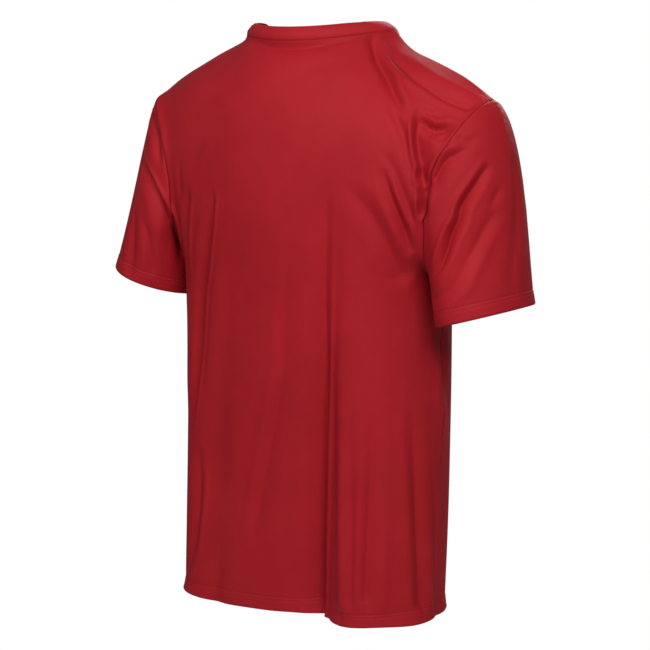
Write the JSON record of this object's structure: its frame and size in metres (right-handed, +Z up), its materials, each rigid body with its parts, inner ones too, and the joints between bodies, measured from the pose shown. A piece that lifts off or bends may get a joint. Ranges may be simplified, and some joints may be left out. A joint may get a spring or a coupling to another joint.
{
  "type": "short-sleeved sports t-shirt",
  "caption": "Short-sleeved crew-neck sports t-shirt of thin red jersey, filled out as if worn and open at the neck, hem and cuffs.",
  "frame": {"origin": "the base of the wearer's neck, midway between the high points of the two shoulder seams", "axes": "+Z up, -Y the way the wearer faces, +X to the wearer's left"},
  "size_m": [0.5892, 0.251, 0.7562],
  "materials": {
    "jersey": "thin knitted polyester with a faint sheen",
    "band_jersey": "doubled polyester rib knit with a faint sheen"
  },
  "bodies": {
    "root": {"back_panel": "jersey", "front_panel": "jersey", "sleeve_left": "jersey", "sleeve_right": "jersey", "neckband": "band_jersey"}
  },
  "joints": []
}
